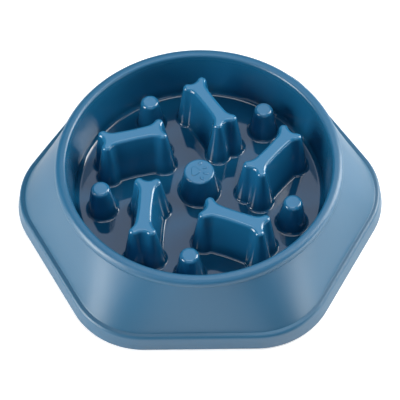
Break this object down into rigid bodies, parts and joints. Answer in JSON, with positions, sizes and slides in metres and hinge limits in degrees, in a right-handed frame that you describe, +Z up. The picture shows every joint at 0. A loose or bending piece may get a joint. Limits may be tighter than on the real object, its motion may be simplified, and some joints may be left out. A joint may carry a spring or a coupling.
{
  "type": "slow feeder bowl",
  "caption": "Low pet bowl with a round dish in a six-sided skirt. Bones, pegs and a centre post stand on its floor to slow eating; it rests on rubber feet.",
  "frame": {"origin": "on the ground, under the middle of the bowl", "axes": "+Z up; +X towards a corner of the six-sided base; +Y towards the middle of a flat side"},
  "size_m": [0.3006, 0.2776, 0.06],
  "materials": {
    "dish_plastic": "deep blue moulded plastic, glossy inside the dish",
    "shell_plastic": "mid blue moulded plastic, satin on the rim and outside",
    "foot_rubber": "matt dark rubber"
  },
  "bodies": {
    "root": {"inner_wall": "dish_plastic", "floor": "dish_plastic", "centre_post": "dish_plastic", "bone_1": "dish_plastic", "bone_2": "dish_plastic", "bone_3": "dish_plastic", "bone_4": "dish_plastic", "bone_5": "dish_plastic", "peg_1": "dish_plastic", "peg_2": "dish_plastic", "peg_3": "dish_plastic", "peg_4": "dish_plastic", "peg_5": "dish_plastic", "rim": "shell_plastic", "skirt": "shell_plastic", "base_band": "shell_plastic", "foot_boss_1": "shell_plastic", "foot_boss_2": "shell_plastic", "foot_boss_3": "shell_plastic", "foot_boss_4": "shell_plastic", "foot_boss_5": "shell_plastic", "foot_boss_6": "shell_plastic", "rubber_foot_1": "foot_rubber", "rubber_foot_2": "foot_rubber", "rubber_foot_3": "foot_rubber", "rubber_foot_4": "foot_rubber", "rubber_foot_5": "foot_rubber", "rubber_foot_6": "foot_rubber"}
  },
  "joints": []
}
